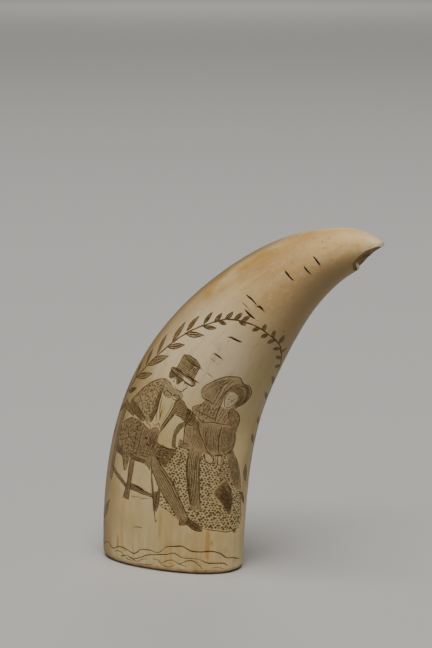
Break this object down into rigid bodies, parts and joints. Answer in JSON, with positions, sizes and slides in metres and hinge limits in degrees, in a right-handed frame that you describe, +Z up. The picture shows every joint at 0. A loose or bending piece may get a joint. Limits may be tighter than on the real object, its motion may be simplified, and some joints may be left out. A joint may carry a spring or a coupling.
{
  "type": "scrimshaw whale tooth",
  "caption": "Curved sperm whale tooth with a flat base to stand on, engraved with a seated couple in a laurel wreath and broken under its tip.",
  "frame": {"origin": "centre of the flat sawn base, where the tooth stands", "axes": "+Z up from the base, +X the way the tip bends over, -Y out of the engraved broad face"},
  "size_m": [0.1287, 0.0382, 0.1533],
  "materials": {
    "ivory": "aged tooth ivory, satin polish, brown ink in fine engraved lines, amber streaks, duller brown break under the tip"
  },
  "bodies": {
    "root": {"tooth": "ivory"}
  },
  "joints": []
}
